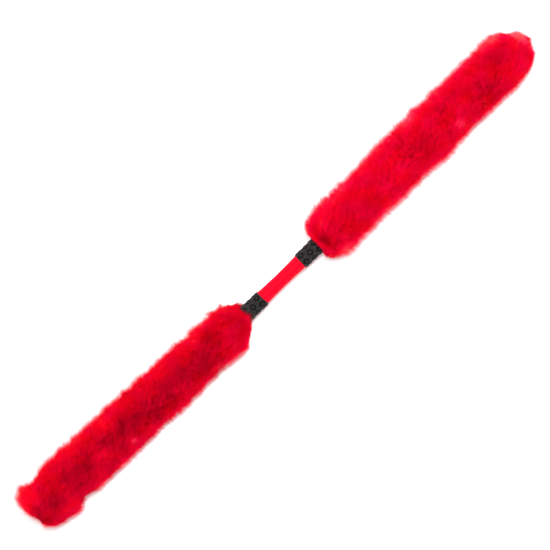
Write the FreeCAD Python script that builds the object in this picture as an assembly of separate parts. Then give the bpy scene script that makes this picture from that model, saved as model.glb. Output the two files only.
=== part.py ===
import FreeCAD, Part
import math
import os

# Fluffy devil stick: a turned wooden core, thinnest at its middle, with a silicone sleeve
# on the waist and a padded, fur-covered half at each end.
# Frame: +X runs along the stick and +Z is up. The origin is at the middle of the stick, on
# the plane where the undersides of the two fur piles rest. Sizes are in millimetres, and
# every outline below is drawn for the +X half as points of (distance along X, radius).

# Core
CORE_HALF = 328.0            # half the length of the core
CORE_WAIST_RADIUS = 5.5      # at the middle of the stick
CORE_SHOULDER_RADIUS = 6.15  # where the waist's arc meets the straight taper
CORE_END_RADIUS = 10.0
CORE_CHAMFER = 1.0
WAIST_HALF = 26.0            # half the length of the bare waist between the bands
AXIS_HEIGHT = 25.0           # the core's axis above the surface the stick lies on

# Silicone sleeve and the bands of tape at its ends
SLEEVE_HALF = 48.0
SLEEVE_WALL = 1.6
BAND_END = 53.0              # outer edge of a band, past the end of the sleeve
TAPE_THICKNESS = 0.55
LAP_THICKNESS = 0.35         # extra height where the tape's free end laps over itself
LAP_ANGLE = 38.0             # degrees of the band that the lap covers
LAP_MARGIN = 0.4             # how far the lap stays inside the band's two edges

# Foam wrap and rubber end cap
FOAM_START = 57.0
FOAM_WALL = 5.0
FOAM_LIP = 1.0               # height of the foam's square front edge
FOAM_BEVEL = 4.0             # length of the bevel behind it
CAP_SKIRT_START = 304.0
CAP_SKIRT_WALL = 2.2
CAP_HEAD = 5.0               # thickness of the cap's head, past the end of the core
CAP_RIM_RADIUS = 3.0         # rounding of the head's rim

# Fur cover: a knitted backing that carries the pile
BACKING_WALL = 1.2
NECK_END = 56.0              # where the gathered neck starts to open over the foam
FLARE_END = 60.3
PILE_START = 55.0
PILE_DEPTH = 13.5
PILE_LIP_X = 48.0            # the lip of the pile leans this far back over the band
PILE_LIP_RADIUS = 17.5
PILE_SHOULDER = 60.0         # where the rounded mouth meets the pile's straight side
PILE_TIP = 346.5

AXIS = FreeCAD.Vector(1, 0, 0)
CENTRE = FreeCAD.Vector(0, 0, 0)
TAPER = (CORE_END_RADIUS - CORE_SHOULDER_RADIUS) / (CORE_HALF - WAIST_HALF)
HALF_DIAGONAL = math.sqrt(0.5)


def core_radius(x):
    """Radius of the core's straight taper at a distance x from the middle."""
    return CORE_SHOULDER_RADIUS + TAPER * (x - WAIST_HALF)


def foam_radius(x):
    return core_radius(x) + FOAM_WALL


def backing_radius(x):
    return foam_radius(x) + BACKING_WALL


def pile_radius(x):
    return backing_radius(x) + PILE_DEPTH


def point(spot):
    """A point of an outline, from its distance along X and its radius."""
    return FreeCAD.Vector(spot[0], 0, spot[1])


def line(start, end):
    return Part.LineSegment(point(start), point(end)).toShape()


def arc(start, middle, end):
    return Part.Arc(point(start), point(middle), point(end)).toShape()


def lines(*spots):
    return [line(start, end) for start, end in zip(spots, spots[1:])]


def rim_arc(centre, radius, start, end):
    """A quarter of a circle about centre, from its top to its +X side."""
    middle = (centre[0] + radius * HALF_DIAGONAL, centre[1] + radius * HALF_DIAGONAL)
    return arc(start, middle, end)


def turned(edges):
    """The closed outline made of edges, turned once about the stick's axis."""
    face = Part.Face(Part.Wire(Part.__sortEdges__(edges)))
    solid = face.revolve(CENTRE, AXIS, 360)
    solid.translate(FreeCAD.Vector(0, 0, AXIS_HEIGHT))
    return solid


def mirrored(solid):
    """The same piece on the -X half of the stick."""
    return solid.mirror(CENTRE, AXIS)


def core_rod():
    end = core_radius(CORE_HALF - CORE_CHAMFER)
    shoulder = (WAIST_HALF, CORE_SHOULDER_RADIUS)
    right = [(CORE_HALF - CORE_CHAMFER, end), (CORE_HALF, end - CORE_CHAMFER), (CORE_HALF, 0)]
    left = [(-x, r) for x, r in reversed(right)]
    edges = lines(*left, (-WAIST_HALF, CORE_SHOULDER_RADIUS))
    edges.append(arc((-WAIST_HALF, CORE_SHOULDER_RADIUS), (0, CORE_WAIST_RADIUS), shoulder))
    edges += lines(shoulder, *right, left[0])
    return turned(edges)


def grip_sleeve():
    shoulder = CORE_SHOULDER_RADIUS
    end = core_radius(SLEEVE_HALF)
    outer_end = (SLEEVE_HALF, end + SLEEVE_WALL)
    inner_end = (SLEEVE_HALF, end)
    outer = (WAIST_HALF, shoulder + SLEEVE_WALL)
    inner = (WAIST_HALF, shoulder)
    edges = [arc((-outer[0], outer[1]), (0, CORE_WAIST_RADIUS + SLEEVE_WALL), outer)]
    edges += lines(outer, outer_end, inner_end, inner)
    edges.append(arc(inner, (0, CORE_WAIST_RADIUS), (-inner[0], inner[1])))
    edges += lines((-inner[0], inner[1]), (-inner_end[0], inner_end[1]))
    edges += lines((-inner_end[0], inner_end[1]), (-outer_end[0], outer_end[1]), (-outer[0], outer[1]))
    return turned(edges)


def tape_ring(start, end, inner_offset, thickness):
    """A conical ring of tape whose bore stands inner_offset off the sleeve."""
    inner_start = core_radius(start) + SLEEVE_WALL + inner_offset
    inner_end = core_radius(end) + SLEEVE_WALL + inner_offset
    outline = [(start, inner_start), (start, inner_start + thickness), (end, inner_end + thickness)]
    return turned(lines(*outline, (end, inner_end), outline[0]))


def lap_wedge():
    """A slice of space, LAP_ANGLE wide, below the stick's axis."""
    reach = 2 * AXIS_HEIGHT
    wedge = Part.makeCylinder(reach, 2 * BAND_END, CENTRE, AXIS, LAP_ANGLE)
    wedge.rotate(CENTRE, AXIS, 180 - LAP_ANGLE / 2)
    wedge.translate(FreeCAD.Vector(0, 0, AXIS_HEIGHT))
    return wedge


def grip_band():
    """One turn of embossed tape, with its free end lapped under the stick."""
    ring = tape_ring(WAIST_HALF, BAND_END, 0, TAPE_THICKNESS)
    lap_height = TAPE_THICKNESS + LAP_THICKNESS
    lap = tape_ring(WAIST_HALF + LAP_MARGIN, BAND_END - LAP_MARGIN, 0, lap_height)
    lap = lap.common(lap_wedge())
    return ring.fuse(lap).removeSplitter().Solids[0]


def foam_wrap():
    front = core_radius(FOAM_START)
    bevel_end = FOAM_START + FOAM_BEVEL
    skirt_bore = CORE_END_RADIUS + CAP_SKIRT_WALL
    outline = [
        (FOAM_START, front),
        (FOAM_START, front + FOAM_LIP),
        (bevel_end, foam_radius(bevel_end)),
        (CORE_HALF, foam_radius(CORE_HALF)),
        (CORE_HALF, skirt_bore),
        (CAP_SKIRT_START, skirt_bore),
        (CAP_SKIRT_START, core_radius(CAP_SKIRT_START)),
    ]
    return turned(lines(*outline, outline[0]))


def end_cap():
    """A rubber ferrule: a skirt round the core's end and a wide, rounded head."""
    head = foam_radius(CORE_HALF)
    skirt = CORE_END_RADIUS + CAP_SKIRT_WALL
    tip = CORE_HALF + CAP_HEAD
    chamfer_start = CORE_HALF - CORE_CHAMFER
    chamfer_radius = core_radius(chamfer_start)
    rim_centre = (tip - CAP_RIM_RADIUS, head - CAP_RIM_RADIUS)
    rim_start = (rim_centre[0], head)
    rim_end = (tip, rim_centre[1])
    edges = lines((CORE_HALF, 0), (CORE_HALF, chamfer_radius - CORE_CHAMFER))
    edges += lines((CORE_HALF, chamfer_radius - CORE_CHAMFER), (chamfer_start, chamfer_radius))
    edges += lines((chamfer_start, chamfer_radius), (CAP_SKIRT_START, core_radius(CAP_SKIRT_START)))
    edges += lines((CAP_SKIRT_START, core_radius(CAP_SKIRT_START)), (CAP_SKIRT_START, skirt))
    edges += lines((CAP_SKIRT_START, skirt), (CORE_HALF, skirt), (CORE_HALF, head), rim_start)
    edges.append(rim_arc(rim_centre, CAP_RIM_RADIUS, rim_start, rim_end))
    edges += lines(rim_end, (tip, 0), (CORE_HALF, 0))
    return turned(edges)


def backing_outside():
    """Edges of the backing's outer face, from the neck to the tip on the axis."""
    rim_centre = (CORE_HALF + CAP_HEAD - CAP_RIM_RADIUS, foam_radius(CORE_HALF) - CAP_RIM_RADIUS)
    rim_radius = CAP_RIM_RADIUS + BACKING_WALL
    rim_start = (rim_centre[0], rim_centre[1] + rim_radius)
    rim_end = (rim_centre[0] + rim_radius, rim_centre[1])
    flare = (FLARE_END, backing_radius(FLARE_END))
    edges = lines((NECK_END, core_radius(NECK_END) + SLEEVE_WALL), flare, rim_start)
    edges.append(rim_arc(rim_centre, rim_radius, rim_start, rim_end))
    return edges + lines(rim_end, (rim_end[0], 0))


def fur_backing():
    """The cloth sleeve: a neck under the band, a flare over the foam, a closed tip."""
    tip = CORE_HALF + CAP_HEAD
    head = foam_radius(CORE_HALF)
    bevel_end = FOAM_START + FOAM_BEVEL
    front = core_radius(FOAM_START)
    rim_centre = (tip - CAP_RIM_RADIUS, head - CAP_RIM_RADIUS)
    rim_start = (rim_centre[0], head)
    rim_end = (tip, rim_centre[1])
    neck_bore = (SLEEVE_HALF, core_radius(SLEEVE_HALF))
    neck = (SLEEVE_HALF, neck_bore[1] + SLEEVE_WALL)
    edges = lines(neck_bore, neck, (NECK_END, core_radius(NECK_END) + SLEEVE_WALL))
    edges += backing_outside()
    edges += lines((tip + BACKING_WALL, 0), (tip, 0), rim_end)
    edges.append(rim_arc(rim_centre, CAP_RIM_RADIUS, rim_start, rim_end))
    edges += lines(rim_start, (CORE_HALF, head), (bevel_end, foam_radius(bevel_end)))
    edges += lines((bevel_end, foam_radius(bevel_end)), (FOAM_START, front + FOAM_LIP))
    edges += lines((FOAM_START, front + FOAM_LIP), (FOAM_START, front), neck_bore)
    return turned(edges)


def below_ground():
    """The space under the surface that the stick lies on."""
    reach = 2 * PILE_TIP
    corner = FreeCAD.Vector(-reach / 2, -reach / 2, -reach)
    return Part.makeBox(reach, reach, reach, corner)


def fur_pile():
    """The pile as one soft body, pressed flat where it rests."""
    start = (PILE_START, core_radius(PILE_START) + SLEEVE_WALL)
    shoulder = (PILE_SHOULDER, pile_radius(PILE_SHOULDER))
    tip_radius = pile_radius(CORE_HALF)
    tip_start = (PILE_TIP - tip_radius, pile_radius(PILE_TIP - tip_radius))
    tip_centre = (tip_start[0], 0)
    tip_middle = (tip_centre[0] + tip_radius * HALF_DIAGONAL, tip_radius * HALF_DIAGONAL)
    edges = [arc(start, (PILE_LIP_X, PILE_LIP_RADIUS), shoulder)]
    edges += lines(shoulder, tip_start)
    edges.append(arc(tip_start, tip_middle, (PILE_TIP, 0)))
    edges += lines((PILE_TIP, 0), (CORE_HALF + CAP_HEAD + BACKING_WALL, 0))
    edges += backing_outside()
    edges += lines((NECK_END, core_radius(NECK_END) + SLEEVE_WALL), start)
    return turned(edges).cut(below_ground()).Solids[0]


def main():
    os.makedirs("parts", exist_ok=True)
    shapes = {"core_rod": core_rod(), "grip_sleeve": grip_sleeve()}
    halves = {
        "grip_band": grip_band(),
        "foam_wrap": foam_wrap(),
        "end_cap": end_cap(),
        "fur_backing": fur_backing(),
        "fur_pile": fur_pile(),
    }
    for name, shape in halves.items():
        shapes["right_" + name] = shape
        shapes["left_" + name] = mirrored(shape)
    for name, shape in shapes.items():
        shape.exportStep("parts/" + name + ".step")
        print(name, shape.ShapeType, shape.isValid(), len(shape.Solids), round(shape.Volume))


main()
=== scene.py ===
import bpy
import math
from collections import namedtuple
import numpy as np
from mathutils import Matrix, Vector
from mathutils.kdtree import KDTree


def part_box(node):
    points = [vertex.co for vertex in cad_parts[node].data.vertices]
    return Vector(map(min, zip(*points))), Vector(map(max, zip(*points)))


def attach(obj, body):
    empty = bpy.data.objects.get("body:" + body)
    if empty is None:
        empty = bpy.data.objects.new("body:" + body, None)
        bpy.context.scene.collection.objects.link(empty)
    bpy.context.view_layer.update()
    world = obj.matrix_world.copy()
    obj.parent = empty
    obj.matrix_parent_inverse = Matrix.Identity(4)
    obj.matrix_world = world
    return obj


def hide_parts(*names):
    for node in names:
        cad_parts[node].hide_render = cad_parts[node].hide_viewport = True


# Looks of the furry devil stick. Lengths are in metres unless a name ends in _MM, and the
# stick lies along +X with its underside on Z = 0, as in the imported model.

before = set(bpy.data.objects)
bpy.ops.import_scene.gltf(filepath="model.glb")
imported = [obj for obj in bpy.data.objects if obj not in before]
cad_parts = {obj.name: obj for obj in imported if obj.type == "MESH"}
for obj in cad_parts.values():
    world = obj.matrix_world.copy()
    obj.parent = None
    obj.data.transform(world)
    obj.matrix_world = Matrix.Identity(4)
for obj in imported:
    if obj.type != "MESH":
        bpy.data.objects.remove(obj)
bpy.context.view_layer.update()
MM = 0.001
SIDES = {"left": -1, "right": 1}


# ---------------------------------------------------------------- camera, light and stage

PLAN_TURN = math.radians(43.98)   # the stick's angle above the picture's horizontal
VIEW_WIDTH = 0.550                # width seen at the height of the stick's axis
LENS_MM = 120.0
SENSOR_MM = 36.0
AIM_RIGHT = -0.0065               # the view's centre, from the middle of the stick
AIM_UP = 0.0047


def axis_height():
    """Height of the core's axis above the floor."""
    low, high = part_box("core_rod")
    return (low[2] + high[2]) / 2


def add_camera():
    data = bpy.data.cameras.new("camera")
    data.lens = LENS_MM
    data.sensor_width = SENSOR_MM
    camera = bpy.data.objects.new("camera", data)
    bpy.context.collection.objects.link(camera)
    right = np.array([math.cos(PLAN_TURN), -math.sin(PLAN_TURN)])
    up = np.array([math.sin(PLAN_TURN), math.cos(PLAN_TURN)])
    aim = right * AIM_RIGHT + up * AIM_UP
    distance = VIEW_WIDTH * LENS_MM / SENSOR_MM
    camera.location = (aim[0], aim[1], axis_height() + distance)
    camera.rotation_euler = (0, 0, -PLAN_TURN)
    bpy.context.scene.camera = camera


def add_area_light(name, place, size, power, aim=(0.0, 0.0, 0.0)):
    """A rectangular light that points from its place at aim."""
    data = bpy.data.lights.new(name, "AREA")
    data.shape = "RECTANGLE"
    data.size, data.size_y = size
    data.energy = power
    light = bpy.data.objects.new(name, data)
    bpy.context.collection.objects.link(light)
    light.location = place
    light.rotation_euler = (Vector(aim) - Vector(place)).to_track_quat("-Z", "Y").to_euler()


def add_lights():
    """A long softbox almost overhead, and a low one on each side and beyond each end."""
    add_area_light("top", (0.28, 0.16, 1.75), (1.0, 0.18), 38.0, aim=(0.28, 0.0, 0.0))
    add_area_light("key", (-0.20, 1.90, 0.42), (1.8, 0.5), 29.0)
    add_area_light("fill", (0.10, -1.90, 0.36), (1.8, 0.4), 26.0)
    add_area_light("left_end", (-1.90, 0.10, 0.40), (0.8, 0.5), 8.0)
    add_area_light("right_end", (1.90, 0.10, 0.40), (0.8, 0.5), 8.0)
    world = bpy.data.worlds.new("studio")
    world.use_nodes = True
    background = world.node_tree.nodes["Background"]
    background.inputs["Color"].default_value = (1.0, 1.0, 1.0, 1.0)
    background.inputs["Strength"].default_value = 0.38
    bpy.context.scene.world = world
    bpy.context.scene.view_settings.view_transform = "Standard"


def add_floor():
    half = 6.0
    mesh = bpy.data.meshes.new("floor")
    corners = [(-half, -half, 0), (half, -half, 0), (half, half, 0), (-half, half, 0)]
    mesh.from_pydata(corners, [], [(0, 1, 2, 3)])
    floor = bpy.data.objects.new("floor", mesh)
    bpy.context.collection.objects.link(floor)
    material, shader = new_material("floor_paper")
    shader.inputs["Base Color"].default_value = (0.94, 0.94, 0.94, 1.0)
    shader.inputs["Roughness"].default_value = 0.95
    shader.inputs["Specular IOR Level"].default_value = 0.1
    mesh.materials.append(material)


# ---------------------------------------------------------------- materials

def new_material(name):
    material = bpy.data.materials.new(name)
    material.use_nodes = True
    return material, material.node_tree.nodes["Principled BSDF"]


def linear(red, green, blue):
    """A linear colour from display values between 0 and 255."""
    values = np.array([red, green, blue]) / 255
    curve = np.where(values <= 0.04045, values / 12.92, ((values + 0.055) / 1.055) ** 2.4)
    return (*[float(v) for v in curve], 1.0)


def add_node(material, kind, **values):
    node = material.node_tree.nodes.new(kind)
    for name, value in values.items():
        node.inputs[name.replace("_", " ")].default_value = value
    return node


def join(material, output, target):
    material.node_tree.links.new(output, target)


def object_coordinates(material, stretch):
    """Object coordinates, scaled by stretch."""
    coordinates = material.node_tree.nodes.new("ShaderNodeTexCoord")
    mapping = material.node_tree.nodes.new("ShaderNodeMapping")
    mapping.inputs["Scale"].default_value = stretch
    join(material, coordinates.outputs["Object"], mapping.inputs["Vector"])
    return mapping.outputs["Vector"]


def noise(material, scale, detail=3.0, stretch=(1, 1, 1), roughness=0.5):
    """A noise factor between 0 and 1, with scale in cells per metre."""
    node = add_node(material, "ShaderNodeTexNoise", Scale=scale, Detail=detail, Roughness=roughness)
    join(material, object_coordinates(material, stretch), node.inputs["Vector"])
    return node.outputs["Fac"]


def ramp(material, factor, stops):
    """A colour ramp through (position, colour) stops."""
    node = material.node_tree.nodes.new("ShaderNodeValToRGB")
    while len(node.color_ramp.elements) < len(stops):
        node.color_ramp.elements.new(0.5)
    for element, (position, colour) in zip(node.color_ramp.elements, stops):
        element.position = position
        element.color = colour
    join(material, factor, node.inputs["Fac"])
    return node.outputs["Color"]


def spread(material, factor, low, high):
    """Maps a 0 to 1 factor onto low to high."""
    node = add_node(material, "ShaderNodeMapRange")
    node.inputs["To Min"].default_value = low
    node.inputs["To Max"].default_value = high
    join(material, factor, node.inputs["Value"])
    return node.outputs["Result"]


def bump(material, shader, height, distance, strength=1.0):
    node = add_node(material, "ShaderNodeBump", Distance=distance, Strength=strength)
    join(material, height, node.inputs["Height"])
    join(material, node.outputs["Normal"], shader.inputs["Normal"])


def wood_material():
    material, shader = new_material("turned_hardwood")
    grain = noise(material, 260.0, 5.0, (0.06, 1, 1), 0.6)
    stops = [(0.32, linear(150, 108, 66)), (0.55, linear(196, 152, 100)), (0.75, linear(214, 174, 122))]
    join(material, ramp(material, grain, stops), shader.inputs["Base Color"])
    join(material, spread(material, grain, 0.38, 0.6), shader.inputs["Roughness"])
    bump(material, shader, grain, 0.00015)
    return material


def silicone_material():
    material, shader = new_material("grip_silicone")
    streaks = noise(material, 420.0, 3.0, (0.12, 1, 1))
    stops = [(0.3, linear(236, 0, 26)), (0.62, linear(248, 0, 34)), (0.8, linear(252, 6, 48))]
    join(material, ramp(material, streaks, stops), shader.inputs["Base Color"])
    join(material, spread(material, noise(material, 900.0), 0.50, 0.62), shader.inputs["Roughness"])
    bump(material, shader, streaks, 0.00012, 0.5)
    shader.inputs["Specular IOR Level"].default_value = 0.03
    shader.inputs["Sheen Weight"].default_value = 0.55
    shader.inputs["Sheen Roughness"].default_value = 0.22
    shader.inputs["Sheen Tint"].default_value = linear(255, 205, 210)
    return material


def tape_material(name, dark, light, smoothest, roughest):
    material, shader = new_material(name)
    mottle = noise(material, 700.0, 4.0)
    stops = [(0.3, linear(*dark)), (0.7, linear(*light))]
    join(material, ramp(material, mottle, stops), shader.inputs["Base Color"])
    join(material, spread(material, mottle, smoothest, roughest), shader.inputs["Roughness"])
    shader.inputs["Specular IOR Level"].default_value = 0.04
    bump(material, shader, noise(material, 4200.0, 2.0), 0.00005)
    return material


def tape_materials():
    """The tape's matt ground and the smoother, blacker tops of its embossing."""
    ground = tape_material("tape_ground", (28, 26, 26), (46, 43, 43), 0.40, 0.55)
    raised = tape_material("tape_embossing", (1, 1, 1), (4, 4, 4), 0.26, 0.34)
    return [ground, raised]


def rubber_material():
    material, shader = new_material("cap_rubber")
    mottle = noise(material, 500.0, 4.0)
    stops = [(0.3, linear(34, 33, 33)), (0.7, linear(52, 50, 50))]
    join(material, ramp(material, mottle, stops), shader.inputs["Base Color"])
    join(material, spread(material, mottle, 0.6, 0.8), shader.inputs["Roughness"])
    bump(material, shader, mottle, 0.0001)
    return material


def cellular_material(name, scale, stretch, stops, roughness):
    """A material with small round cells, like a foam's or the loops of a knit."""
    material, shader = new_material(name)
    cells = add_node(material, "ShaderNodeTexVoronoi", Scale=scale)
    join(material, object_coordinates(material, stretch), cells.inputs["Vector"])
    join(material, ramp(material, cells.outputs["Distance"], stops), shader.inputs["Base Color"])
    shader.inputs["Roughness"].default_value = roughness
    bump(material, shader, cells.outputs["Distance"], 0.0002)
    return material, shader


def foam_material():
    stops = [(0.0, linear(70, 70, 74)), (0.6, linear(112, 112, 116))]
    return cellular_material("closed_cell_foam", 1400.0, (1, 1, 1), stops, 0.9)[0]


def backing_material():
    stops = [(0.0, linear(238, 196, 192)), (0.7, linear(214, 152, 150))]
    material, shader = cellular_material("knitted_backing", 1100.0, (0.6, 1, 1), stops, 0.92)
    shader.inputs["Sheen Weight"].default_value = 0.3
    return material


def undercoat_material():
    material, shader = new_material("fur_undercoat")
    fibre = noise(material, 900.0, 6.0, (1, 1, 1), 0.7)
    # Painted shade: the wool is a darker red than the fibres' own tones, for the shade deep in the pile.
    stops = [(0.3, linear(140, 0, 16)), (0.6, linear(186, 0, 26))]
    join(material, ramp(material, fibre, stops), shader.inputs["Base Color"])
    shader.inputs["Roughness"].default_value = 0.95
    shader.inputs["Specular IOR Level"].default_value = 0.02
    bump(material, shader, fibre, 0.0008)
    return material


# The pile's tones, from deep to pale: the red and green of each, and its blue in crimson and in scarlet.
FUR_TONES = [
    ("fur_hollow", 158, 0, (27, 17)),
    ("fur_deep", 190, 0, (34, 21)),
    ("fur_shade", 212, 0, (41, 25)),
    ("fur_main", 230, 0, (50, 31)),
    ("fur_bright", 244, 0, (61, 38)),
    ("fur_tip", 254, 14, (80, 54)),
    ("fur_pale", 255, 92, (116, 98)),
]
HUES = ("crimson", "scarlet")


def fur_materials():
    """One plain shader per hue and tone; the pile mixes them fibre by fibre."""
    made = []
    for number, hue in enumerate(HUES):
        for name, red, green, blues in FUR_TONES:
            material, shader = new_material(name + "_" + hue)
            shader.inputs["Base Color"].default_value = linear(red, green, blues[number])
            shader.inputs["Roughness"].default_value = 0.65
            shader.inputs["Specular IOR Level"].default_value = 0.015
            made.append(material)
    return made


# ---------------------------------------------------------------- mesh helpers

def add_mesh(name, points, faces, materials, smooth=True):
    """A mesh object from points, and faces as arrays that each hold faces of one size."""
    mesh = bpy.data.meshes.new(name)
    sizes = np.concatenate([np.full(len(f), f.shape[1]) for f in faces])
    corners = np.concatenate([f.ravel() for f in faces])
    mesh.vertices.add(len(points))
    mesh.vertices.foreach_set("co", np.asarray(points, np.float32).ravel())
    mesh.loops.add(len(corners))
    mesh.loops.foreach_set("vertex_index", corners.astype(np.int32))
    mesh.polygons.add(len(sizes))
    starts = np.concatenate([[0], np.cumsum(sizes)[:-1]])
    mesh.polygons.foreach_set("loop_start", starts.astype(np.int32))
    mesh.polygons.foreach_set("loop_total", sizes.astype(np.int32))
    mesh.polygons.foreach_set("use_smooth", np.full(len(sizes), smooth))
    for material in materials:
        mesh.materials.append(material)
    mesh.update(calc_edges=True)
    piece = bpy.data.objects.new(name, mesh)
    bpy.context.collection.objects.link(piece)
    return piece


def settle(piece, node):
    """Puts a finished piece on the stick's only body, in place of a CAD node."""
    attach(piece, "root")
    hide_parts(node)
    return piece


def closed_grid(rows, columns):
    """Quads of a grid whose rows are rings of points, with the last ring joined to the first."""
    row, column = np.meshgrid(np.arange(rows), np.arange(columns), indexing="ij")
    below = (row + 1) % rows
    after = (column + 1) % columns
    quads = [row * columns + column, row * columns + after, below * columns + after, below * columns + column]
    return np.stack(quads, -1).reshape(-1, 4)


def lathe(name, x, radius, angle, materials):
    """A closed skin whose rows are rings about the stick's axis, and whose last row joins the first."""
    points = (x, radius * np.sin(angle), axis_height() + radius * np.cos(angle))
    points = np.stack(np.broadcast_arrays(*points), -1).reshape(-1, 3)
    return add_mesh(name, points, [closed_grid(*radius.shape)], materials)


# ---------------------------------------------------------------- waves: smooth seeded unevenness

class Waves:
    """A smooth random field over (distance along X, angle round the axis), about -1 to 1.

    With a heading, all its waves run about that way, which draws the field out into streaks.
    """

    def __init__(self, seed, scale, radius=0.028, count=14, heading=None):
        rng = np.random.default_rng(seed)
        direction = rng.uniform(0, 2 * math.pi, count)
        if heading is not None:
            direction = heading + rng.normal(0, 0.30, count)
        frequency = 2 * math.pi / (scale * rng.uniform(0.7, 1.5, count))
        self.along = frequency * np.cos(direction)
        self.around = np.round(frequency * np.sin(direction) * radius)
        self.phase = rng.uniform(0, 2 * math.pi, count)
        self.gain = math.sqrt(2 / count) / 1.3

    def __call__(self, x, angle):
        total = np.zeros(np.broadcast(x, angle).shape)
        for along, around, phase in zip(self.along, self.around, self.phase):
            total += np.cos(along * x + around * angle + phase)
        return total * self.gain


# ---------------------------------------------------------------- the core's taper

TAPER_START = 0.026         # where the core's straight taper begins, and its radius there
TAPER_START_RADIUS = 0.00615


def core_radius(distance):
    """The core's radius on its straight taper."""
    low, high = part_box("core_rod")
    growth = ((high[1] - low[1]) / 2 - TAPER_START_RADIUS) / (high[0] - TAPER_START)
    return TAPER_START_RADIUS + growth * (distance - TAPER_START)


# ---------------------------------------------------------------- grip bands

LOZENGES_ROUND = 6        # lozenges in one ring of the embossing
LOZENGE_RINGS = 3
LOZENGE_HEIGHT = 0.00050
LAP_HALF_ANGLE = math.radians(19.0)
LAP_HEIGHT = 0.000315      # the free end of the tape, lapped over the turn below it
TAPE_THICKNESS = 0.0005
EDGE_ROUNDING = 0.0003
EDGE_WIDTH = 0.0004
EDGE_WANDER = 0.00022     # how unevenly the tape is cut and laid


def smooth_step(value, low, high):
    t = np.clip((value - low) / (high - low), 0, 1)
    return t * t * (3 - 2 * t)


def lozenge_relief(share, angle):
    """Height of the raised lozenge outlines, from 0 to 1, over one band."""
    across = share * LOZENGE_RINGS
    ring = np.floor(across)
    around = angle / (2 * math.pi) * LOZENGES_ROUND + 0.5 * (ring % 2)
    reach = 2 * (np.abs(across - ring - 0.5) + np.abs(around - np.floor(around) - 0.5))
    outline = smooth_step(reach, 0.46, 0.52) * (1 - smooth_step(reach, 0.84, 0.90))
    margin = smooth_step(share, 0.03, 0.06) * (1 - smooth_step(share, 0.94, 0.97))
    return outline * margin


def band(side, materials):
    """A turn of tape with an embossed lozenge pattern and its free end lapped underneath."""
    name = side + "_grip_band"
    sign = SIDES[side]
    low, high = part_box(name)
    near, far = sorted(abs(v) for v in (low[0], high[0]))
    outer_far = (high[1] - low[1]) / 2
    outer_near = outer_far - (core_radius(far) - core_radius(near))
    rows, columns = 110, 420
    share = np.linspace(0, 1, rows)[:, None]
    angle = np.linspace(0, 2 * math.pi, columns, endpoint=False)[None, :]
    wander = Waves(31 + sign, 0.012, radius=0.0085)(near + share * 0, angle) * EDGE_WANDER
    distance = near + (far - near) * share + wander * (1 - share)
    smooth_outer = outer_near + (outer_far - outer_near) * share
    edge = np.minimum(share, 1 - share) * (far - near)
    rounding = EDGE_ROUNDING * (1 - np.clip(edge / EDGE_WIDTH, 0, 1)) ** 2
    lap = (np.abs(angle - math.pi) < LAP_HALF_ANGLE) * LAP_HEIGHT
    relief = lozenge_relief(share, angle)
    outer = smooth_outer - rounding + relief * LOZENGE_HEIGHT + lap
    inner = smooth_outer[::-1] - TAPE_THICKNESS + np.zeros_like(angle)
    x = sign * np.concatenate([distance, distance[::-1]])
    radius = np.concatenate([outer, inner])
    piece = lathe(name + "_tape", x, radius, angle, materials)
    raised = np.zeros((2 * rows, columns), np.int32)
    raised[:rows - 1] = relief[:-1] + relief[1:] > 1
    piece.data.polygons.foreach_set("material_index", raised.ravel())
    return settle(piece, name)


# ---------------------------------------------------------------- fur covers

PILE_LEAN = 0.0055        # how far fibre tips lean towards +X
LEAN_VARIES = 0.0025
SWEEP = 0.0042            # how far they are combed round the stick, over its top towards +Y
SWEEP_VARIES = 0.0024
SWEEP_TURN = math.radians(25.0)
BOW = 0.0052              # sideways lie of the pile towards +Y at the stick's tips
STREAK_SPACING = 0.0050   # between the diagonal streaks in the brushed pile
# Heights of the pile's unevenness, as shares of its depth.
LUMP_HEIGHT = 0.045
SWELL_HEIGHT = 0.035
STREAK_HEIGHT = 0.006
SMOOTHEST = 0.25          # how ragged the pile is on top, where it is brushed flat, beside its flanks
STRAY_LENGTH = 0.075      # how far stray fibres stand out of the pile, as a share of its depth
LONGEST_STRAY = 3.5       # the longest stray fibre, beside a usual one
END_STRAY = 1.2           # how much further the stray fibres of the closed end stand out
LONGEST_SHARE = 1.42      # the longest fibre, as a share of the pile's depth
BEND_AT = 0.66            # a fibre's bend, as a share of its length
BEND_LEAN = 0.15          # how much of its lean a fibre has at its bend
CORNER_ROUNDING = 0.0045
JITTER = 0.0005
GATHERED_PROUD = 3.0      # how much more a tuft gathers to its middle where it stands proud
FORWARD_AT_BEND = 0.25    # how much of its way past the mouth a fibre has made at its bend
PULL_AT_BEND = 0.35       # how much of its tuft's and lock's pull a fibre has at its bend
LEAST_RADIUS = 0.006      # the smallest radius that a fibre's way round is measured on
END_DENSITY = 0.35        # extra fibres all along the outline, beside those at full radius: a dense end
SPLAY = 0.5               # how far a fibre pressed up by the floor moves sideways

# Swellings and hollows of each cover's pile: distance from the stick's middle, direction round the
# axis in degrees from the top towards +Y, or None for all round, height and reach.
SWELLINGS = {
    "left": [
        (0.074, None, 0.0010, 0.009), (0.074, -90, 0.0024, 0.010), (0.115, None, -0.0008, 0.030),
        (0.140, -90, 0.0010, 0.040), (0.200, -90, -0.0020, 0.026), (0.252, -90, -0.0016, 0.020),
        (0.290, -90, -0.0066, 0.011), (0.308, -90, 0.0040, 0.008), (0.326, -90, -0.0020, 0.012),
        (0.342, -80, -0.0040, 0.009), (0.318, 90, -0.0050, 0.010), (0.339, 80, 0.0030, 0.007),
    ],
    "right": [
        (0.066, None, 0.0010, 0.010), (0.190, None, -0.0008, 0.130), (0.165, 90, 0.0016, 0.040),
        (0.204, None, 0.0020, 0.024), (0.226, 90, -0.0012, 0.010), (0.238, -90, -0.0024, 0.008),
        (0.288, 90, -0.0012, 0.012), (0.298, -90, 0.0018, 0.008), (0.332, 88, -0.0036, 0.005),
        (0.341, 80, 0.0060, 0.006), (0.324, -90, -0.0024, 0.014),
    ],
}
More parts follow.
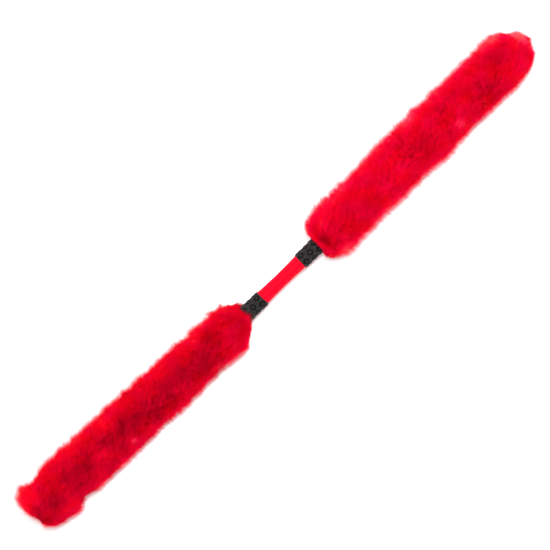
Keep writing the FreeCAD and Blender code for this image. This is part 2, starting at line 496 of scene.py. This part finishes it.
# Locks of fibres that end in one point: distance and direction of a lock's middle on the pile's
# surface, then the distance and radius of its point.
LOCKS = {
    "left": [
        (0.0710, 84, 0.0588, 0.0292), (0.0650, 76, 0.0520, 0.0212), (0.0605, 66, 0.0490, 0.0158),
        (0.0590, 15, 0.0525, 0.0125), (0.0590, -70, 0.0520, 0.0105), (0.0770, -86, 0.0700, 0.0300),
    ],
    "right": [
        (0.0560, -88, 0.0485, 0.0165), (0.0540, -60, 0.0475, 0.0150),
    ],
}
LOCK_REACH = 0.0040
LOCK_TAPER = 0.8          # below 1, more of a lock's fibres reach its point
# Lighter and darker patches of the pile: distance, direction, how many tones lighter, and reach.
PATCHES = {
    "left": [
        (0.072, 5, 1.0, 0.012), (0.078, -36, 1.4, 0.010), (0.105, 44, 0.8, 0.012),
        (0.105, -10, -0.2, 0.009), (0.108, -48, 1.8, 0.007), (0.113, -6, 0.6, 0.008),
        (0.127, -5, -0.6, 0.008), (0.140, -44, 0.7, 0.008), (0.149, 8, -1.2, 0.008),
        (0.149, 48, 0.6, 0.010), (0.157, -18, -1.2, 0.006), (0.158, 20, -0.8, 0.005),
        (0.166, -24, 0.8, 0.006), (0.192, -3, -1.4, 0.007), (0.202, 6, -0.7, 0.012),
        (0.213, -37, 2.6, 0.005), (0.217, 4, -1.0, 0.009), (0.224, 37, 0.8, 0.011),
        (0.233, 6, -1.0, 0.008), (0.246, -10, 1.4, 0.007), (0.261, 43, 0.6, 0.012),
        (0.266, -5, -1.2, 0.009), (0.284, 11, -1.4, 0.006), (0.305, -46, 0.7, 0.008),
        (0.308, 20, 0.6, 0.010), (0.312, -10, -1.3, 0.011), (0.330, 28, 1.1, 0.012),
        (0.338, 68, 2.4, 0.008),
    ],
    "right": [
        (0.057, 0, -0.9, 0.004), (0.067, 29, 0.8, 0.010), (0.067, -27, 0.7, 0.009),
        (0.067, -62, 1.8, 0.008), (0.077, 14, -1.0, 0.005), (0.077, -13, -1.3, 0.005),
        (0.095, 6, -0.9, 0.007), (0.107, 60, 1.3, 0.008), (0.114, -5, -0.8, 0.007),
        (0.124, -34, -1.0, 0.011), (0.128, -62, 1.4, 0.012), (0.162, -12, 0.6, 0.012),
        (0.177, 29, -0.6, 0.006), (0.189, -38, -1.0, 0.008), (0.195, 0, -0.9, 0.008),
        (0.200, 66, 2.0, 0.009), (0.222, 40, -0.7, 0.006), (0.227, 2, -0.8, 0.008),
        (0.237, -31, 2.2, 0.005), (0.242, -5, 0.9, 0.008), (0.252, 29, -1.0, 0.008),
        (0.256, -36, -0.9, 0.007), (0.265, -41, 2.2, 0.004), (0.275, 17, -1.0, 0.008),
        (0.280, -26, -0.9, 0.007), (0.305, 20, -1.0, 0.012), (0.316, 60, 2.4, 0.010),
        (0.331, 10, 0.8, 0.010), (0.340, 60, 3.0, 0.009),
    ],
}
# The outlines at a cover's mouth, as (distance beyond the mouth, radius): where the fibres are rooted
# round the backing's collar, and where the pile's surface is.
MOUTH_ROOTS = [(0.0054, 0.0087), (0.0047, 0.0104), (0.0068, 0.0122), (0.0125, 0.0128), (0.0185, 0.0129)]
MOUTH_SURFACE = {
    "left": [(0.0070, 0.0099), (0.0112, 0.0148), (0.0160, 0.0198), (0.0213, 0.0240), (0.0285, 0.0264)],
    "right": [(0.0048, 0.0099), (0.0036, 0.0160), (0.0062, 0.0224), (0.0122, 0.0268), (0.0205, 0.0286)],
}
COLLAR_BACK = {"left": 0.0024, "right": 0.0}   # how far the collar is hidden behind the first fibres
FORWARD = {"left": 0.9, "right": -0.35}        # share of the lean that takes a mouth's fibres past it
# How the pile's end closes: distances behind the tip, and radii as shares of the pile's radius.
END_ROUNDING = {"left": ((0.0090, 0.98), (0.0015, 0.74)), "right": ((0.0170, 0.86), (0.0050, 0.50))}
END_BACK = {"left": 0.0034, "right": 0.0013}   # how far the pile's surface ends inside its tips
# How the roots' outline closes: distances before the backing's end, shares of the backing's radius, and
# how far inside those.
ROOTS_END = [(0.0120, 1.0, 0.0), (0.0040, 1.0, 0.0008), (0.0005, 0.62, 0.0), (0.0, 0.0, 0.0)]
END_DROOP = 0.0055                             # how far the fibres of the end face hang down
# Stretches of the pile's outline over which its looks change, from the mouth or from the end.
MOUTH_LIP = (0.004, 0.018)
MOUTH_FADE = (0.012, 0.030)
END_FADE = (-0.032, -0.016)
END_FACE = (-0.020, -0.006)

# The pile's tone, counted in steps of FUR_TONES.
TONE_SHIFT = {"left": -0.02, "right": 0.50}
UNEVENNESS = {"left": 0.9, "right": 0.55}
# Painted shade: the top of the left cover gets darker tones than its flanks.
CENTRE_SHADE = {"left": 0.6, "right": 0.0}     # the top of the left cover is darker than its flanks
MOUTH_PALENESS = {"left": 1.0, "right": 0.9}
# Painted light: the closed end's paler tone stands in for light shining through the thin pile there, most on
# the side at +Y; the end face loses some of it again.
END_PAINTED_LIGHT = {"left": 1.3, "right": 2.2}     # the pile thins out at its end, and looks paler there
END_ONE_SIDED = 0.3       # half of what the side at -Y lacks of it
END_FACE_SHADE = 0.75     # share of that paleness that the end face loses again
# Painted light: the pile's flanks are lighter by a family's flank light tone, and the side at -Y only in
# part.
FAR_SIDE_FLANK_LIGHT = 0.6       # how much of a family's edge tone the side at -Y has
SHADE_TONE = 0.75
PATCHED_TOP = (0.1, 0.5)  # heights, as shares of the radius, over which the patches take over
PATCHED_SHARE = 0.75      # share of the random shade that the patches take the place of
STREAK_TONE = 0.24
# Painted shade: the pile's tone follows its height, darker in its hollows and lighter where it stands higher.
HOLLOW_SHADE_TONE = 5.5         # how much lighter the pile is where it stands higher
STRAY_TONE = 0.2
LIGHT_TIPS = 0.3          # share of the fibres whose tips are a tone lighter
WARM_SIDE = {"left": 0.7, "right": 0.1}        # how much more scarlet the side at +Y is
WARMTH_OF_TONE = {"left": 0.55, "right": 0.0}  # how much more scarlet the lighter fibres are
WARMTH_MIX = 0.6          # how much the two hues mix where they meet
SCARLET_ABOVE = 0.15      # the warmth above which a fibre is scarlet


def rounded(path, knots, samples, reach):
    """A path through points at knots, sampled at even samples, with its corners rounded over reach."""
    sampled = np.stack([np.interp(samples, knots, path[:, k]) for k in (0, 1)], 1)
    steps = int(reach / (samples[1] - samples[0]))
    before = 2 * sampled[0] - sampled[steps:0:-1]
    after = 2 * sampled[-1] - sampled[-2:-steps - 2:-1]
    padded = np.concatenate([before, sampled, after])
    window = np.hanning(2 * steps + 3)[1:-1]
    window /= window.sum()
    return np.stack([np.convolve(padded[:, k], window, "valid") for k in (0, 1)], 1)


def arc_lengths(path):
    """The distance along a path of each of its points."""
    return np.concatenate([[0], np.cumsum(np.linalg.norm(np.diff(path, axis=0), axis=1))])


class Cover:
    """One fur cover: where its fibres start on the backing and where the pile's surface is."""

    def __init__(self, side):
        self.side = side
        self.sign = SIDES[side]
        pile_low, pile_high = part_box(side + "_fur_pile")
        back_low, back_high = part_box(side + "_fur_backing")
        self.mouth = min(abs(pile_low[0]), abs(pile_high[0]))
        self.tip = max(abs(pile_low[0]), abs(pile_high[0]))
        self.end = max(abs(back_low[0]), abs(back_high[0]))
        self.surface = (pile_high[1] - pile_low[1]) / 2
        self.backing = (back_high[1] - back_low[1]) / 2
        self.pile_depth = self.surface - self.backing
        self.z0 = axis_height()
        self.set_paths()

    def set_paths(self):
        """Matching outlines, as (distance along X, radius), of the backing and of the pile."""
        tip = self.tip - END_BACK[self.side]
        end, surface, backing = self.end, self.surface, self.backing
        (near_back, near_share), (last_back, last_share) = END_ROUNDING[self.side]
        roots = [(self.mouth + distance, radius) for distance, radius in MOUTH_ROOTS]
        roots += [(end - back, backing * share - inside) for back, share, inside in ROOTS_END]
        tips = [(self.mouth + distance, radius) for distance, radius in MOUTH_SURFACE[self.side]]
        tips += [(tip - surface, surface), (tip - near_back, surface * near_share)]
        tips += [(tip - last_back, surface * last_share), (tip, 0.0)]
        knots = arc_lengths(np.array(tips))
        self.length = knots[-1]
        self.samples = np.linspace(0, self.length, 700)
        self.roots = rounded(np.array(roots), knots, self.samples, CORNER_ROUNDING)
        self.tips = rounded(np.array(tips), knots, self.samples, CORNER_ROUNDING)

    def at(self, path, place):
        return [np.interp(place, self.samples, path[:, k]) for k in (0, 1)]

    def swelling(self, place, angle):
        """How far the pile stands above its plain outline here, as a share of its depth."""
        x = self.at(self.tips, place)[0]
        total = np.zeros(np.broadcast(x, angle).shape)
        for distance, direction, height, reach in SWELLINGS[self.side]:
            bump = height * np.exp(-((x - distance) / reach) ** 2)
            if direction is not None:
                bump = bump * np.maximum(np.cos(angle - math.radians(direction)), 0)
            total = total + bump
        return total / self.pile_depth

    def spread_evenly(self, count, rng):
        """Places along the pile and angles round it that cover its surface evenly."""
        weight = self.tips[:, 1] + END_DENSITY * self.surface
        total = np.cumsum(weight)
        rank = (np.arange(count) + rng.uniform(0, 1, count)) / count
        place = np.interp(rank * total[-1], total, self.samples)
        golden = (math.sqrt(5) - 1) / 2
        angle = 2 * math.pi * ((np.arange(count) * golden) % 1.0)
        return place, angle + rng.normal(0, 0.02, count)

    def point(self, x, radius, angle):
        """A point in the frame. The pile's surface lies a little to +Y towards the tip."""
        share = np.clip((x - self.mouth) / (self.tip - self.mouth), 0, 1)
        depth = np.clip(radius / self.surface, 0, 1)
        y = radius * np.sin(angle) + BOW * share ** 0.8 * depth ** 2
        return np.stack([self.sign * x, y, self.z0 + radius * np.cos(angle)], -1)

    def surface_point(self, place, angle, depth):
        """The point a share depth of the way from the backing to the pile's surface."""
        place = np.where(place > self.length, 2 * self.length - place, place)
        root_x, root_radius = self.at(self.roots, place)
        tip_x, tip_radius = self.at(self.tips, place)
        x = root_x + (tip_x - root_x) * depth
        radius = root_radius + (tip_radius - root_radius) * depth
        return self.point(x, radius, angle)


def nearest(points, targets):
    """For each point, the index of its nearest target."""
    tree = KDTree(len(targets))
    for index, target in enumerate(targets):
        tree.insert(target, index)
    tree.balance()
    return np.array([tree.find(point)[1] for point in points])


def lift_off_floor(points, spare):
    """Fibres that would pass through the floor lie flat on it and splay out sideways."""
    sunk = np.maximum(spare - points[..., 2], 0)
    points[..., 1] += np.sign(points[..., 1]) * sunk * SPLAY
    points[..., 2] = np.maximum(points[..., 2], spare)
    return points


class Tufts:
    """Neighbouring fibres that lean together: each tuft has its own lean, length and tone."""

    def __init__(self, cover, rng, spacing, lean, length, proud, gather, tone):
        area = 2 * math.pi * cover.tips[:, 1].mean() * cover.length
        place, angle = cover.spread_evenly(int(area / spacing ** 2), rng)
        count = len(place)
        self.centre = cover.surface_point(place, angle, 1.0)
        self.along = rng.normal(0, lean, count)
        self.around = rng.normal(0, lean, count)
        self.longer = rng.normal(0, length, count)
        self.proud = proud * np.clip(rng.exponential(1, count) - 0.8, 0, 2.5)
        self.tone = tone * rng.normal(0, 1, count)
        self.gather = gather


class Coat:
    """How the pile of one cover lies: lean, length and tone at any place on it."""

    def __init__(self, cover, rng):
        self.cover = cover
        self.lean = Waves(100 + cover.sign, 0.060)
        self.turn = Waves(200 + cover.sign, 0.060)
        self.lumps = Waves(300 + cover.sign, 0.017)
        self.swells = Waves(350 + cover.sign, 0.038)
        self.shade = Waves(400 + cover.sign, 0.030)
        self.warmth = Waves(480 + cover.sign, 0.024)
        across_the_pile = math.pi / 2 + cover.sign * math.atan2(SWEEP, PILE_LEAN)
        self.streaks = Waves(450 + cover.sign, STREAK_SPACING, heading=across_the_pile)
        self.tufts = [
            Tufts(cover, rng, spacing=0.0100, lean=0.0010, length=0.064, proud=0.0, gather=0.04, tone=0.12),
            Tufts(cover, rng, spacing=0.0046, lean=0.0009, length=0.060, proud=0.06, gather=0.08, tone=0.06),
        ]

    def height(self, place, angle):
        """How far the pile stands above its even surface, as a share of its depth."""
        uneven = LUMP_HEIGHT * self.lumps(place, angle) + SWELL_HEIGHT * self.swells(place, angle)
        return uneven * UNEVENNESS[self.cover.side] + STREAK_HEIGHT * self.streaks(place, angle)

    def paleness(self, place, angle):
        """How many tones lighter the pile is at its mouth and, as painted light, at its closed end."""
        side = self.cover.side
        from_end = place - self.cover.length
        at_end = smooth_step(from_end, *END_FADE) - END_FACE_SHADE * smooth_step(from_end, *END_FACE)
        at_lip = 1 - smooth_step(place, *MOUTH_LIP)
        at_end *= 1 - END_ONE_SIDED + END_ONE_SIDED * np.sin(angle)
        return END_PAINTED_LIGHT[side] * at_end + MOUTH_PALENESS[side] * at_lip

    def tone(self, place, angle, height, edge_tone):
        """How many tones lighter the pile is here than a family's own tone, paleness apart."""
        side = self.cover.side
        top, flank = np.cos(angle), np.sin(angle)
        off_the_patches = 1 - PATCHED_SHARE * smooth_step(top, *PATCHED_TOP)
        # painted shade in the pile's hollows, from its height
        tone = TONE_SHIFT[side] + HOLLOW_SHADE_TONE * height
        tone += SHADE_TONE * UNEVENNESS[side] * self.shade(place, angle) * off_the_patches
        tone += STREAK_TONE * self.streaks(place, angle)
        # painted shade on the top of the cover
        tone -= CENTRE_SHADE[side] * np.maximum(top, 0) ** 4
        # painted light on the flanks, less on the side at -Y and none on the end face
        on_the_length = 1 - smooth_step(place - self.cover.length, *END_FACE)
        return tone + edge_tone * np.where(flank > 0, 1.0, FAR_SIDE_FLANK_LIGHT) * flank ** 4 * on_the_length

    def scarlet(self, place, angle, tone, rng):
        """Whether each fibre is scarlet, rather than crimson."""
        side = self.cover.side
        warmth = self.warmth(place, angle) + WARM_SIDE[side] * np.sin(angle)
        warmth += WARMTH_OF_TONE[side] * tone + rng.normal(0, WARMTH_MIX, len(tone))
        return warmth > SCARLET_ABOVE

    def tufted(self, surface, angle, stray, rng):
        """What its tufts give each fibre: leans along and round, length, tone and a pull to their middles."""
        count = len(surface)
        along, around, longer, tone = np.zeros((4, count))
        pull = np.zeros_like(surface)
        ragged = SMOOTHEST + (1 - SMOOTHEST) * np.sin(angle) ** 2
        for tufts in self.tufts:
            own = nearest(surface, tufts.centre)
            proud = tufts.proud[own] * ragged
            along += tufts.along[own]
            around += tufts.around[own]
            longer += tufts.longer[own] * ragged + proud * stray * rng.uniform(0.2, 1, count)
            tone += tufts.tone[own]
            gathered = (tufts.gather + GATHERED_PROUD * proud) * ragged * rng.uniform(0.4, 1.3, count)
            pull += (tufts.centre[own] - surface) * gathered[:, None]
        return along, around, longer, tone, pull

    def surface_near(self, distance, direction):
        """The pile's surface at a distance from the stick's middle, and a direction in degrees."""
        cover = self.cover
        place = cover.samples[np.argmin(np.abs(cover.tips[:, 0] - distance))]
        return cover.surface_point(place, np.array(math.radians(direction)), 1.0)

    def locks(self, surface, tip, rng):
        """How far the fibres near each listed lock are drawn towards the lock's point."""
        cover = self.cover
        drawn = np.zeros_like(tip)
        for distance, direction, end, radius in LOCKS[cover.side]:
            away = np.linalg.norm(surface - self.surface_near(distance, direction), axis=1)
            share = np.exp(-(away / LOCK_REACH) ** 2) * rng.uniform(0, 1, len(tip)) ** LOCK_TAPER
            drawn += (cover.point(end, radius, math.radians(direction)) - tip - drawn) * share[:, None]
        return drawn

    def patches(self, tip):
        """How many tones lighter the listed patches make each fibre."""
        lighter = np.zeros(len(tip))
        for distance, direction, tones, reach in PATCHES[self.cover.side]:
            away = np.linalg.norm(tip - self.surface_near(distance, direction), axis=1)
            lighter += tones * np.exp(-(away / reach) ** 2)
        return lighter

    def lengths(self, family, share, place, rng):
        """Each fibre's length as a share of the pile's depth, and how far it strays out of the pile."""
        share = share * (family.longest - family.spread * np.sqrt(rng.uniform(0, 1, family.count)))
        stray = family.stray * np.minimum(rng.exponential(1, family.count), LONGEST_STRAY)
        stray *= 1 + END_STRAY * smooth_step(place - self.cover.length, *END_FADE)
        return np.minimum(share + STRAY_LENGTH * stray, LONGEST_SHARE), stray

    def fibres(self, family, rng):
        """Start, bend and end of every fibre of a family, its tone, and whether it is scarlet."""
        cover = self.cover
        place, angle = cover.spread_evenly(family.count, rng)
        surface = cover.surface_point(place, angle, 1.0)
        along, around, longer, tone, pull = self.tufted(surface, angle, family.stray, rng)
        at_mouth = 1 - smooth_step(place, *MOUTH_FADE)
        along += cover.sign * (PILE_LEAN + LEAN_VARIES * self.lean(place, angle)) * family.lean
        sweep = SWEEP * np.maximum(np.cos(angle + SWEEP_TURN), 0) + SWEEP_VARIES * self.turn(place, angle)
        around += sweep * family.lean * (1 - at_mouth)
        height = self.height(place, angle)
        share = 1.0 + height + cover.swelling(place, angle) + longer
        share, stray = self.lengths(family, share, place, rng)
        forward = cover.sign * along * FORWARD[cover.side] * at_mouth * rng.uniform(0.2, 1.6, family.count)
        along *= 1 - at_mouth
        turn = around / np.maximum(cover.at(cover.tips, place)[1], LEAST_RADIUS)
        start = cover.surface_point(place, angle, family.start)
        bend = cover.surface_point(place + BEND_LEAN * along, angle + BEND_LEAN * turn, BEND_AT * share)
        tip = cover.surface_point(place + along, angle + turn, share) + pull
        tip[:, 0] += forward
        tip[:, 2] -= END_DROOP * smooth_step(place - cover.length, *END_FACE)
        drawn = self.locks(surface, tip, rng)
        tip += drawn
        bend[:, 0] += FORWARD_AT_BEND * forward
        bend += PULL_AT_BEND * (pull + drawn)
        tone += self.tone(place, angle, height, family.edge_tone) + STRAY_TONE * (stray - family.stray)
        tone += self.patches(tip)
        tip += rng.normal(0, JITTER, tip.shape)
        bend += rng.normal(0, JITTER, bend.shape)
        hue_rng = np.random.default_rng(8000 + family.count + cover.sign)
        scarlet = self.scarlet(place, angle, tone, hue_rng)
        return start, bend, tip, tone + self.paleness(place, angle), scarlet


RING_CORNERS = 3
FLOOR_GAP = (0.0003, 0.0015)   # how far above the floor the fibres that lie on it may be


# Fibres of one kind. Its rings, all but the last, are shares of a fibre's length; start, longest and
# spread are shares of the pile's depth.
Family = namedtuple("Family", "name count rings radii_mm start longest spread stray lean tone edge_tone")
# The last field of a family is painted light: how many tones lighter its fibres are on the pile's flanks.
FAMILIES = [
    Family("pile", 120000, (0.0, 0.55), (0.13, 0.10), 0.32, 1.06, 0.46, 0.5, 1.0, 2.6, 0.4),
    Family("underfur", 110000, (0.0,), (0.17,), 0.46, 0.87, 0.26, 0.0, 1.0, 1.6, 0.0),
    Family("guard", 26000, (0.0, 0.6), (0.10, 0.085), 0.45, 1.48, 0.60, 0.3, 0.6, 3.0, 2.3),
]


def most_in_a_piece(family):
    """How many fibres keep a piece under 200,000 triangles."""
    sides = (2 * len(family.radii_mm) - 1) * RING_CORNERS
    return 195000 // (sides + 1)


def fibre_points(family, start, bend, tip, rng):
    """Corner points of every fibre: rings of three, then the tip."""
    t = np.array([*family.rings, 1.0])[None, :, None]
    start, bend, tip = start[:, None], bend[:, None], tip[:, None]
    line = (1 - t) ** 2 * start + 2 * t * (1 - t) * bend + t ** 2 * tip
    spare = rng.uniform(*FLOOR_GAP, (len(line), 1)) * np.ones(line.shape[1])
    line = lift_off_floor(line, spare)
    heading = np.gradient(line, axis=1)
    heading /= np.linalg.norm(heading, axis=2, keepdims=True) + 1e-12
    side = np.cross(heading, rng.normal(0, 1, (len(line), 1, 3)))
    side /= np.linalg.norm(side, axis=2, keepdims=True) + 1e-12
    other = np.cross(heading, side)
    rings = len(family.radii_mm)
    thickness = rng.uniform(0.75, 1.25, (len(line), 1, 1, 1))
    radii = (np.array(family.radii_mm) * MM)[None, :, None, None] * thickness
    corner = np.arange(RING_CORNERS) * 2 * math.pi / RING_CORNERS
    swing = np.cos(corner)[None, None, :, None] * side[:, :rings, None]
    swing = swing + np.sin(corner)[None, None, :, None] * other[:, :rings, None]
    corners = line[:, :rings, None] + swing * radii
    return np.concatenate([corners.reshape(len(line), -1, 3), line[:, rings:]], 1)


def fibre_faces(family, count):
    """Faces of count fibres, and for each face of one fibre how far along it lies."""
    ring = np.arange(RING_CORNERS)
    after = (ring + 1) % RING_CORNERS
    rows = len(family.radii_mm)
    quads, levels = [np.zeros((0, 4), int)], []
    for row in range(rows - 1):
        low, high = row * RING_CORNERS, (row + 1) * RING_CORNERS
        quads.append(np.stack([low + ring, low + after, high + after, high + ring], 1))
        levels += [row] * RING_CORNERS
    last = (rows - 1) * RING_CORNERS
    end = rows * RING_CORNERS
    caps = np.stack([last + ring, last + after, np.full(RING_CORNERS, end)], 1)
    caps = np.concatenate([caps, [[2, 1, 0]]])
    shift = (np.arange(count) * (end + 1))[:, None, None]
    quads = (np.concatenate(quads)[None] + shift).reshape(-1, 4)
    caps = (caps[None] + shift).reshape(-1, 3)
    return quads, caps, levels, [rows - 1] * RING_CORNERS + [0]


def fibre_tones(family, tone, scarlet, light_tip, levels):
    """Material index of each face: darker at the root, as painted shade, and some fibres have lighter tips.
    """
    level = np.array(levels, int)[None, :]
    last = len(family.radii_mm) - 1
    # Painted shade: all but a fibre's last segment are a tone darker, as if deep in the pile.
    base = np.round(family.tone + tone)[:, None] - (level < last)
    index = np.clip(base, 0, len(FUR_TONES) - 1) + light_tip[:, None] * (level == last)
    index = np.minimum(index, len(FUR_TONES) - 1) + len(FUR_TONES) * scarlet[:, None]
    return index.astype(np.int32).ravel()


def add_fibres(coat, family, materials, rng):
    """A family's fibres, in pieces from the mouth to the tip."""
    cover = coat.cover
    start, bend, tip, tone, scarlet = coat.fibres(family, rng)
    light_tip = rng.uniform(0, 1, len(tone)) < LIGHT_TIPS
    order = np.argsort(np.abs(start[:, 0]), kind="stable")
    pieces = math.ceil(len(order) / most_in_a_piece(family))
    for number, part in enumerate(np.array_split(order, pieces), 1):
        points = fibre_points(family, start[part], bend[part], tip[part], rng)
        quads, caps, quad_levels, cap_levels = fibre_faces(family, len(part))
        name = f"{cover.side}_fur_{family.name}_{number}"
        faces = [group for group in (quads, caps) if len(group)]
        piece = add_mesh(name, points.reshape(-1, 3), faces, materials)
        looks = (tone[part], scarlet[part], light_tip[part])
        tones = [fibre_tones(family, *looks, levels) for levels in (quad_levels, cap_levels)]
        piece.data.polygons.foreach_set("material_index", np.concatenate(tones))
        settle(piece, cover.side + "_fur_pile")


def fur_pile(cover, materials):
    """The pile as real fibres: a short dense underfur and the longer pile over it."""
    rng = np.random.default_rng(7000 + cover.sign)
    coat = Coat(cover, rng)
    for family in FAMILIES:
        add_fibres(coat, family, materials, rng)


# Depths of the wool between the fibres, as shares of the pile's depth.
WOOL_DEPTH = 0.44
WOOL_LUMPS = 0.05
WOOL_DEPTH_AT_LIP = 0.12
WOOL_INSIDE = 0.03
WOOL_SWELLING = 0.5       # how much of the pile's swellings the wool has
WOOL_LIP = 0.006          # the length over which the wool thickens behind the mouth
WOOL_OFF_FLOOR = 0.0012


def undercoat(cover, material):
    """The dense wool between the fibres, as one lumpy closed skin round the backing."""
    rows, columns = 230, 150
    place = np.linspace(0, cover.length * 0.9995, rows)[:, None]
    angle = np.linspace(0, 2 * math.pi, columns, endpoint=False)[None, :]
    lumps = Waves(500 + cover.sign, 0.022)(place, angle) + 0.7 * Waves(600 + cover.sign, 0.009)(place, angle)
    depth = WOOL_DEPTH + WOOL_LUMPS * lumps + WOOL_SWELLING * cover.swelling(place, angle)
    fade = smooth_step(place, 0, WOOL_LIP)
    place, angle = np.broadcast_arrays(place, angle)
    outer = cover.surface_point(place, angle, depth * fade + WOOL_DEPTH_AT_LIP * (1 - fade))
    inner = cover.surface_point(place[::-1], angle[::-1], np.full(depth.shape, WOOL_INSIDE))
    points = np.concatenate([outer, inner]).reshape(-1, 3)
    points = lift_off_floor(points, WOOL_OFF_FLOOR)
    faces = closed_grid(2 * rows, columns)
    piece = add_mesh(cover.side + "_fur_undercoat", points, [faces], [material])
    settle(piece, cover.side + "_fur_pile")


# ---------------------------------------------------------------- backing and foam under the pile

FABRIC = 0.0009           # thickness of the backing's knit
PLEATS = 15
PLEAT_DEPTH = 0.00035
PLEAT_SWAY = 0.0002
PLEATS_BEGIN = (0.0040, 0.0052)
PLEATS_FADE = (0.008, 0.020)
# The backing's outline at its gathered mouth, as (distance beyond the mouth, radius): a neck that the
# tape holds, and a collar that folds forward round the tape's end.
NECK_RADIUS = 0.00795
COLLAR = [(0.0050, 0.0080), (0.0056, 0.0089), (0.0046, 0.0097), (0.0043, 0.0110)]
COLLAR += [(0.0058, 0.0122), (0.0125, 0.0128)]
# How its closed end rounds off: distances before the end, and how far inside the backing's radius.
BACKING_END = [(0.0045, 0.0), (0.0012, 0.0012), (0.0, 0.0046)]
INNERMOST = 0.0002
SEAM_HALF_ANGLE = math.radians(2.5)
SEAM_DEPTH = 0.0007
KNIT_CORNER = 0.0009      # how sharply the knit folds
SKIRT_LENGTH = 0.024      # the end cap's skirt, under the foam's end
SKIRT_RADIUS = 0.0122
FOAM_EDGE = 0.0011        # the foam's wall at its thin end, where the tape presses it down
FOAM_SHOULDER = 0.0038
FOAM_DENTS = 0.00012
FOAM_PRESSED = 0.003      # the length that the tape presses smooth


def backing_profile(cover):
    """The backing's outer outline, from its neck to the middle of its closed end, finer at both ends."""
    mouth, end, radius = cover.mouth, cover.end, cover.backing
    collar = mouth + COLLAR_BACK[cover.side]
    path = [(mouth, NECK_RADIUS)] + [(collar + distance, reach) for distance, reach in COLLAR]
    path += [(end - back, radius - inside) for back, inside in BACKING_END]
    path += [(end, INNERMOST)]
    path = np.array(path)
    knots = arc_lengths(path)
    even = np.linspace(0, knots[-1], 3000)
    smooth = rounded(path, knots, even, KNIT_CORNER)
    near_end = knots[-1] - 0.030
    parts = [np.arange(0, 0.022, 0.0004), np.arange(0.022, near_end, 0.005)]
    places = np.concatenate([*parts, np.linspace(near_end, knots[-1], 40)])
    return np.stack([np.interp(places, even, smooth[:, k]) for k in (0, 1)], 1)


def backing(cover, material):
    """The knitted backing: a thin closed shell, pleated where the tape gathers it."""
    outer = backing_profile(cover)
    heading = np.gradient(outer, axis=0)
    heading /= np.linalg.norm(heading, axis=1, keepdims=True)
    inner = outer - np.stack([-heading[:, 1], heading[:, 0]], 1) * FABRIC
    inner[:, 1] = np.maximum(inner[:, 1], INNERMOST)
    angle = np.linspace(0, 2 * math.pi, 180, endpoint=False)[None, :]
    ring = np.concatenate([outer, inner[::-1]])
    distance, radius = ring[:, :1], ring[:, 1:]
    beyond = distance - cover.mouth - COLLAR_BACK[cover.side]
    gathered = smooth_step(beyond, *PLEATS_BEGIN) * (1 - smooth_step(beyond, *PLEATS_FADE))
    wander = 0.25 * Waves(900 + cover.sign, 0.02)(distance, angle)
    radius = radius + PLEAT_DEPTH * gathered * np.cos(PLEATS * angle + wander)
    x = cover.sign * (distance + PLEAT_SWAY * np.sin(PLEATS * angle) * gathered)
    name = cover.side + "_fur_backing"
    piece = lathe(name + "_knit", x, radius, angle, [material])
    settle(piece, name)


def foam_wrap(side, material):
    """The foam tube round the core, split along its underside and pushed over the cap's skirt."""
    name = side + "_foam_wrap"
    low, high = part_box(name)
    near, far = sorted(abs(v) for v in (low[0], high[0]))
    outer_far = (high[1] - low[1]) / 2
    wall = outer_far - core_radius(far)
    step = far - SKIRT_LENGTH
    inner_near = core_radius(near)
    path = [(near, inner_near + FOAM_EDGE), (near + wall / 2, inner_near + FOAM_SHOULDER), (far, outer_far)]
    path += [(far, SKIRT_RADIUS), (step, SKIRT_RADIUS), (step, core_radius(step)), (near, inner_near)]
    path = np.array(path)
    knots = arc_lengths(path)
    places = np.union1d(knots, np.arange(0, knots[-1], 0.004))
    distance = np.interp(places, knots, path[:, 0])[:, None]
    angle = np.linspace(0, 2 * math.pi, 160, endpoint=False)[None, :]
    seam = np.exp(-((angle - math.pi) / SEAM_HALF_ANGLE) ** 2)
    dents = FOAM_DENTS * Waves(950 + SIDES[side], 0.012)(distance, angle)
    outside = (places < knots[2])[:, None] * smooth_step(distance, near, near + FOAM_PRESSED)
    radius = np.interp(places, knots, path[:, 1])[:, None] + outside * (dents - SEAM_DEPTH * seam)
    piece = lathe(name + "_tube", SIDES[side] * distance, radius, angle, [material])
    settle(piece, name)


# ---------------------------------------------------------------- the whole stick

def paint(node, material):
    """Gives a CAD node its finished material."""
    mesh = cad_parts[node].data
    mesh.materials.clear()
    mesh.materials.append(material)


def build():
    add_camera()
    add_lights()
    add_floor()
    paint("core_rod", wood_material())
    paint("grip_sleeve", silicone_material())
    tape, rubber, foam, knit = tape_materials(), rubber_material(), foam_material(), backing_material()
    wool, fibres = undercoat_material(), fur_materials()
    for side in SIDES:
        paint(side + "_end_cap", rubber)
        band(side, tape)
        cover = Cover(side)
        foam_wrap(side, foam)
        backing(cover, knit)
        undercoat(cover, wool)
        fur_pile(cover, fibres)


build()
